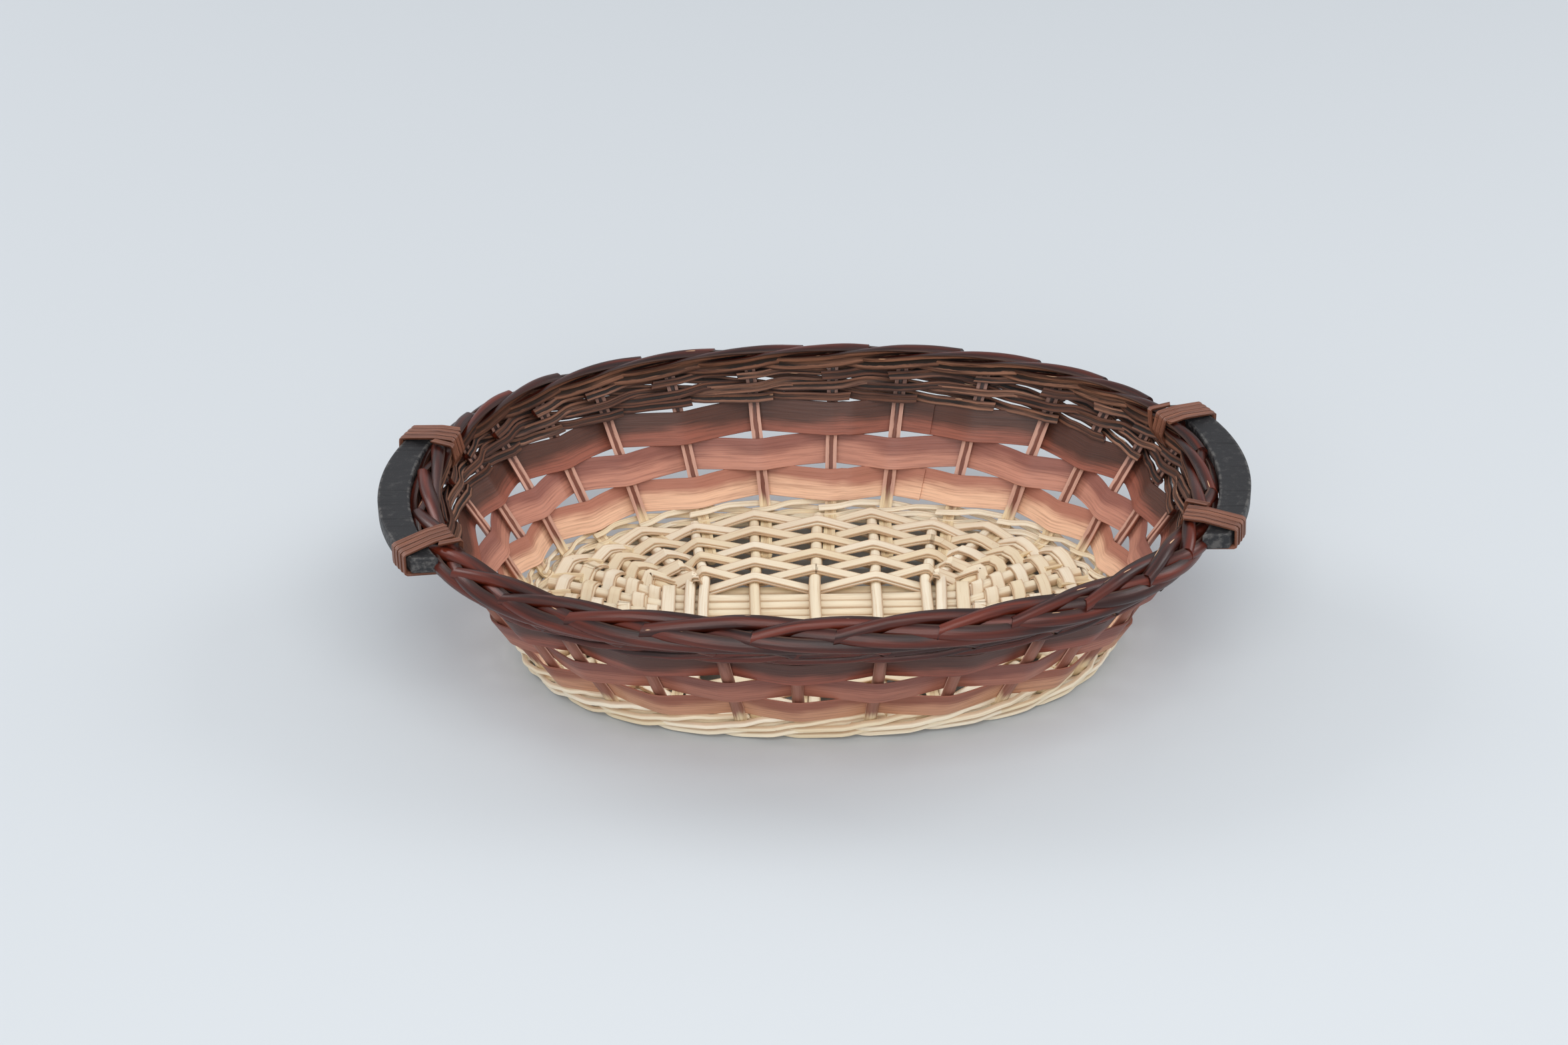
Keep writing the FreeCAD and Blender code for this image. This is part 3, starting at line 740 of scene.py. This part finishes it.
def makeStrips():
    for row, bottom in enumerate(strips["bottoms"]):
        mesh = newRods()
        inOut = 1 if row % 2 == 0 else -1
        topmost = row == len(strips["bottoms"]) - 1
        middle = bottom + strips["middle"] + (strips["topExtra"] * 0.4 if topmost else 0)
        steps = int((stakeCount + strips["overlap"]) * strips["pointsPerStake"])
        points, guides = [], []
        wander = random.uniform(0, 6)
        for step in range(steps + 1):
            s = step / strips["pointsPerStake"]
            u = strips["joints"][row] + s
            turn = math.pi * u
            wave = 0.89 * math.cos(turn) + 0.09 * math.cos(3 * turn) + 0.02 * math.cos(5 * turn)
            out = inOut * strips["wave"] * wave
            if s < strips["overlap"] + 0.1:
                out -= strips["thickness"] * 1.3
            z = middle + 0.0005 * math.sin(u * 0.9 + wander) + 0.0003 * math.sin(u * 2.3 + wander)
            points.append(wallPoint(u, z, out))
            guides.append(wallUp(u, z))
        height = strips["height"] + (strips["topExtra"] if topmost else 0)
        layRod(mesh, ribbonSection(2), points, guides, height, strips["thickness"], slant=0.05)
        name, node = f"woodStrip{row + 1}", f"wood_strip_{row + 1}"
        finishPiece(mesh, name, stripWoods[row], [node])


footLook = {
    # "pieceStart" is where a rod's butt end lies, in stakes, and no point goes under "lowest"
    "width": 0.0030, "thickness": 0.0024, "pieceStart": -0.3, "lowest": 0.0016,
    # stakes travelled, distance out and height: outside two stakes while rising, then inside one
    "keys": [(0, -0.0032, 0.0042), (0.5, 0.0, 0.0024), (1, 0.0034, 0.0018), (1.5, 0.0046, 0.0030),
             (2, 0.0032, 0.0054), (2.5, -0.0002, 0.0077), (3, -0.0036, 0.0074), (3.5, -0.0002, 0.0062),
             (4, 0.0033, 0.0066), (4.5, 0.0046, 0.0085), (5, 0.0034, 0.0108), (5.5, 0.0, 0.0122),
             (6, -0.0034, 0.0114)],
}
rimLook = {
    "width": 0.0050, "thickness": 0.0029, "pieceStart": -0.24, "lowest": 0.06,
    "keys": [(0, -0.0034, 0.0652), (0.5, 0.0, 0.0644), (1, 0.0031, 0.0652), (1.5, 0.0040, 0.0668),
             (2, 0.0033, 0.0690), (2.5, 0.0, 0.0716), (3, -0.0036, 0.0708), (3.5, 0.0, 0.0692),
             (4, 0.0031, 0.0700), (4.5, 0.0040, 0.0722), (5, 0.0033, 0.0746), (5.5, 0.0, 0.0772),
             (6, -0.0034, 0.0765)],
}
walePointsPerStake = 9


def keyAt(keys, s):
    s = min(max(s, keys[0][0]), keys[-1][0])
    for (start, outA, zA), (end, outB, zB) in zip(keys, keys[1:]):
        if s <= end:
            share = (s - start) / (end - start)
            share = share * share * (3 - 2 * share)
            return outA + share * (outB - outA), zA + share * (zB - zA)


def makeWale(look, name, material, node):
    mesh = newRods()
    keys = look["keys"]
    for piece in range(stakeCount):
        begin = look["pieceStart"] + random.uniform(-0.06, 0.08)
        end = keys[-1][0] + 0.16 + random.uniform(-0.05, 0.1)
        steps = int((end - begin) * walePointsPerStake)
        tilt, wander = random.uniform(-0.0007, 0.0007), random.uniform(0, 6)
        lift = random.uniform(-0.0004, 0.0004)
        points, guides = [], []
        for step in range(steps + 1):
            s = begin + (end - begin) * step / steps
            out, z = keyAt(keys, s)
            z += lift + tilt * (s / 3 - 1) + 0.00035 * math.sin(s * 2.1 + wander)
            z = max(z, look["lowest"])
            # both butt ends lie inside the wall
            if s < 0:
                out += 0.0012 * s / look["pieceStart"] - 0.0006
            if s > keys[-1][0]:
                out -= 0.004 * (s - keys[-1][0])
            points.append(wallPoint(piece + s, z, out))
            guides.append(wallUp(piece + s, z))
        width = look["width"] * random.uniform(0.84, 1.1)
        thickness = look["thickness"] * random.uniform(0.9, 1.1)
        slant = random.uniform(-0.5, 0.5)
        taper = random.uniform(0.8, 1.15)
        layRod(mesh, splitSection(0.16, 6), points, guides, width, thickness, slant, taper, facing=-1)
    finishPiece(mesh, name, material, [node])


border = {
    "width": 0.0076,
    "thickness": 0.0052,
    "tipSlant": -0.6,
    "taper": 0.98,
    # stakes travelled, distance out and height, from a stake's top to its cut tip
    "keys": [(0.0, 0.0, 0.0735), (0.25, 0.0012, 0.0772), (0.7, 0.0034, 0.0782), (1.3, 0.0050, 0.0792),
             (1.9, 0.0064, 0.0815), (2.4, 0.0056, 0.0838), (2.9, 0.0010, 0.0842), (3.4, -0.0036, 0.0824),
             (3.9, -0.0048, 0.0836), (4.4, -0.0040, 0.0870), (4.85, -0.0016, 0.0886),
             (5.25, 0.0018, 0.0877), (5.6, 0.0044, 0.0853)],
    # only the tips, past this many stakes, reach more or less far
    "tipStart": 4.5,
    # stakes travelled and the lean of the split face from upright, in degrees inwards
    "leans": [(0.0, -20), (2.0, -15), (2.9, 5), (4.2, 5), (4.6, 22), (5.0, 42), (5.8, 54)],
}


def leanAt(s):
    leans = border["leans"]
    for (start, first), (end, last) in zip(leans, leans[1:]):
        if s <= end:
            return first + (last - first) * (s - start) / (end - start)
    return leans[-1][1]


def makeBorder():
    mesh = newRods()
    for i in range(stakeCount):
        reach = random.uniform(-0.12, 0.12)
        wobble = random.uniform(-0.0005, 0.0005)
        keys = []
        for s, out, z in border["keys"]:
            stretch = reach * max(0.0, s - border["tipStart"])
            keys.append(Vector((s + stretch, out, z + wobble * (1 if s > 1 else 0))))
        points, guides = [], []
        for key in smoothed(keys, 2):
            u = i - key.x
            points.append(wallPoint(u, wall["rimLevel"], key.y) + up * (key.z - wall["rimLevel"]))
            lean = math.radians(leanAt(key.x))
            guides.append(up * math.cos(lean) - wallOut(u, wall["rimLevel"]) * math.sin(lean))
        points[0] = wallPoint(i, border["keys"][0][2])
        width = border["width"] * random.uniform(0.93, 1.07)
        layRod(mesh, splitSection(0.12, 8), points, guides, width, border["thickness"],
               border["tipSlant"], border["taper"])
    finishPiece(mesh, "rimBorder", darkWillow, ["rim_border"])


handle = {
    # sizes of the wooden block, which the lashings follow
    "width": 0.016,
    "thickness": 0.0085,
    "innerRadius": 0.125,
    "outerRadius": 0.110,
    "clearance": 0.0016,
    "borderHalf": 0.0055,
    "borderMiddle": 0.0833,
    "bottom": 0.0800,
    # rounding and rubbed rim of the edges, in metres, and the least area of a face with a rim
    "edgeRound": 0.0009,
    "wornRim": 0.0013,
    "broadArea": 0.0005,
}
# where the lashings go, in stakes
lashedGaps = {"right": (stakeCount - 1.5, 1.5), "left": (halfCount - 1.5, halfCount + 1.5)}


def handleFrame(side):
    first, second = (wallPoint(u, handle["borderMiddle"]) for u in lashedGaps[side])
    chord = second - first
    outward = chord.cross(up).normalized()
    if outward.dot(first) < 0:
        outward = -outward
    radius = handle["innerRadius"]
    bow = radius - math.sqrt(radius ** 2 - (chord.length / 2) ** 2)
    middle = (first + second) / 2 + outward * (handle["borderHalf"] + handle["clearance"] + bow)
    return middle, outward


def makeHandle(side):
    # the CAD block with rounded, rubbed edges
    mesh = bmesh.new()
    mesh.from_mesh(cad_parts[f"handle_block_{side}"].data)
    bmesh.ops.remove_doubles(mesh, verts=mesh.verts, dist=0.00002)
    bmesh.ops.dissolve_limit(mesh, angle_limit=math.radians(1.0), verts=mesh.verts, edges=mesh.edges)
    worn = mesh.verts.layers.float.new("worn")
    sharpAngle = math.radians(25)
    sharp = [edge for edge in mesh.edges if edge.is_manifold and edge.calc_face_angle() > sharpAngle]
    bmesh.ops.bevel(mesh, geom=sharp, offset=handle["edgeRound"], affect="EDGES", segments=3,
                    profile=0.5, material=-1)
    for vert in mesh.verts:
        vert[worn] = 1.0
    broad = [face for face in mesh.faces if face.calc_area() > handle["broadArea"]]
    bmesh.ops.inset_region(mesh, faces=broad, thickness=handle["wornRim"], use_even_offset=True)
    for face in broad:
        for vert in face.verts:
            vert[worn] = 0.0
    name, node = f"handleBlock{side.title()}", f"handle_block_{side}"
    finishPiece(mesh, name, blackPaint, [node], sharpAngle=30)


lashing = {"turns": 4, "pitch": 0.0034, "width": 0.0030, "thickness": 0.0018, "slack": 0.0006}


def outerReach(point, direction, side):
    middle, outward = handleFrame(side)
    centre = middle + outward * (handle["width"] - handle["outerRadius"])
    offset = centre - point
    offset.z = 0
    across = offset.cross(direction).length
    return offset.dot(direction) + math.sqrt(handle["outerRadius"] ** 2 - across ** 2)


def makeLashings(side):
    mesh = newRods()
    for u in lashedGaps[side]:
        start = wallPoint(u, handle["borderMiddle"])
        outward = wallOut(u, handle["borderMiddle"])
        along = up.cross(outward)
        top = handle["bottom"] + handle["thickness"]
        lean = lashing["pitch"] * 0.5
        line = []
        for turn in range(lashing["turns"]):
            shift = (turn - (lashing["turns"] - 1) / 2) * lashing["pitch"]
            place = start + along * shift
            far = outerReach(place, outward, side) + lashing["thickness"] * 0.55 + lashing["slack"]
            under = handle["bottom"] - lashing["slack"]
            # distance out, height and slide along the rim: over the top, round the block and back
            corners = [(-0.0058, 0.0918, -lean), (0.004, 0.0919, -lean * 0.6), (far, top + 0.0009, 0.0),
                       (far + 0.0002, under, lean * 0.4), (0.002, 0.0755, lean * 0.6),
                       (-0.0045, 0.0755, lean), (-0.0078, 0.083, lean)]
            for out, z, slide in corners:
                line.append(place + outward * out + along * slide + up * (z - handle["borderMiddle"]))
        # the end is tucked over the turns
        tail = line[-1]
        line += [tail + up * 0.009 + along * 0.002, tail + up * 0.0092 + outward * 0.011 + along * 0.001]
        dense = []
        for here, there in zip(line, line[1:]):
            dense += [here, here.lerp(there, 0.18), here.lerp(there, 0.5), here.lerp(there, 0.82)]
        points = smoothed(dense + [line[-1]], 1)
        layRod(mesh, splitSection(0.1, 6), points, along, lashing["width"], lashing["thickness"], slant=0.4)
    name, node = f"handleLashing{side.title()}", f"handle_lashing_{side}"
    finishPiece(mesh, name, lashingWillow, [node])


makeSticks()
makeFloorWeave()
print("floor woven")
makeStakes()
makeWale(footLook, "footWale", whiteWillow, "foot_wale")
makeStrips()
makeWale(rimLook, "rimWale", darkWillow, "rim_wale")
print("wall woven")
makeBorder()
for side in ("left", "right"):
    makeHandle(side)
    makeLashings(side)
print("border and handles made")

studio = {
    "lens": 85.0,
    "place": (0.0227, -1.558, 1.073),
    "pitch": 32.95,
    "yaw": -1.4,
    "roll": -1.1,
    "basketTurn": 0.8,
    "floor": (202, 207, 211),
    "world": (0.93, 0.955, 1.0),
    "worldStrength": 0.61,
    # name, place, size, power and tint of each lamp
    "lamps": [
        ("topSoftbox", (0.15, -0.85, 1.6), (1.6, 1.2), 13.5, (1.0, 0.985, 0.96)),
        ("frontSoftbox", (-0.25, -1.75, 0.95), (1.3, 0.6), 8.5, (1.0, 0.99, 0.97)),
        ("leftSoftbox", (-1.6, 0.9, 1.3), (1.0, 1.0), 12.0, (1.0, 1.0, 1.0)),
        ("rightSoftbox", (1.6, 0.5, 1.2), (0.9, 0.9), 9.0, (1.0, 1.0, 1.0)),
    ],
}


def makeCamera():
    pitch, yaw, roll = (math.radians(studio[key]) for key in ("pitch", "yaw", "roll"))
    forward = Vector((math.sin(yaw) * math.cos(pitch), math.cos(yaw) * math.cos(pitch), -math.sin(pitch)))
    right = Vector((math.cos(yaw), -math.sin(yaw), 0))
    over = right.cross(forward)
    rolledRight = right * math.cos(roll) + over * math.sin(roll)
    rolledOver = over * math.cos(roll) - right * math.sin(roll)
    turned = Matrix((rolledRight, rolledOver, -forward)).transposed().to_4x4()
    data = bpy.data.cameras.new("studioCamera")
    data.lens = studio["lens"]
    data.sensor_width = 36.0
    camera = bpy.data.objects.new("studioCamera", data)
    bpy.context.collection.objects.link(camera)
    camera.matrix_world = (Matrix.Rotation(math.radians(-studio["basketTurn"]), 4, "Z")
                           @ Matrix.Translation(studio["place"]) @ turned)
    bpy.context.scene.camera = camera


def makeLight(name, place, size, power, tint):
    data = bpy.data.lights.new(name, "AREA")
    data.shape = "RECTANGLE"
    data.size, data.size_y = size
    data.energy = power
    data.color = tint
    light = bpy.data.objects.new(name, data)
    light.location = place
    light.rotation_euler = (-Vector(place)).to_track_quat("-Z", "Y").to_euler()
    bpy.context.collection.objects.link(light)


def makeStudio():
    mesh = bmesh.new()
    bmesh.ops.create_grid(mesh, x_segments=2, y_segments=2, size=6.0)
    data = bpy.data.meshes.new("studioFloor")
    mesh.to_mesh(data)
    mesh.free()
    material, nodes, shader = newMaterial("studioPaper", 0.85, 0.2)
    shader.inputs["Base Color"].default_value = colour(*studio["floor"])
    data.materials.append(material)
    paper = bpy.data.objects.new("studioFloor", data)
    bpy.context.collection.objects.link(paper)
    world = bpy.data.worlds.new("studioWorld")
    world.use_nodes = True
    background = world.node_tree.nodes["Background"]
    background.inputs["Color"].default_value = (*studio["world"], 1.0)
    background.inputs["Strength"].default_value = studio["worldStrength"]
    bpy.context.scene.world = world
    for lamp in studio["lamps"]:
        makeLight(*lamp)
    bpy.context.scene.view_settings.view_transform = "Standard"


makeCamera()
makeStudio()
print("studio ready")
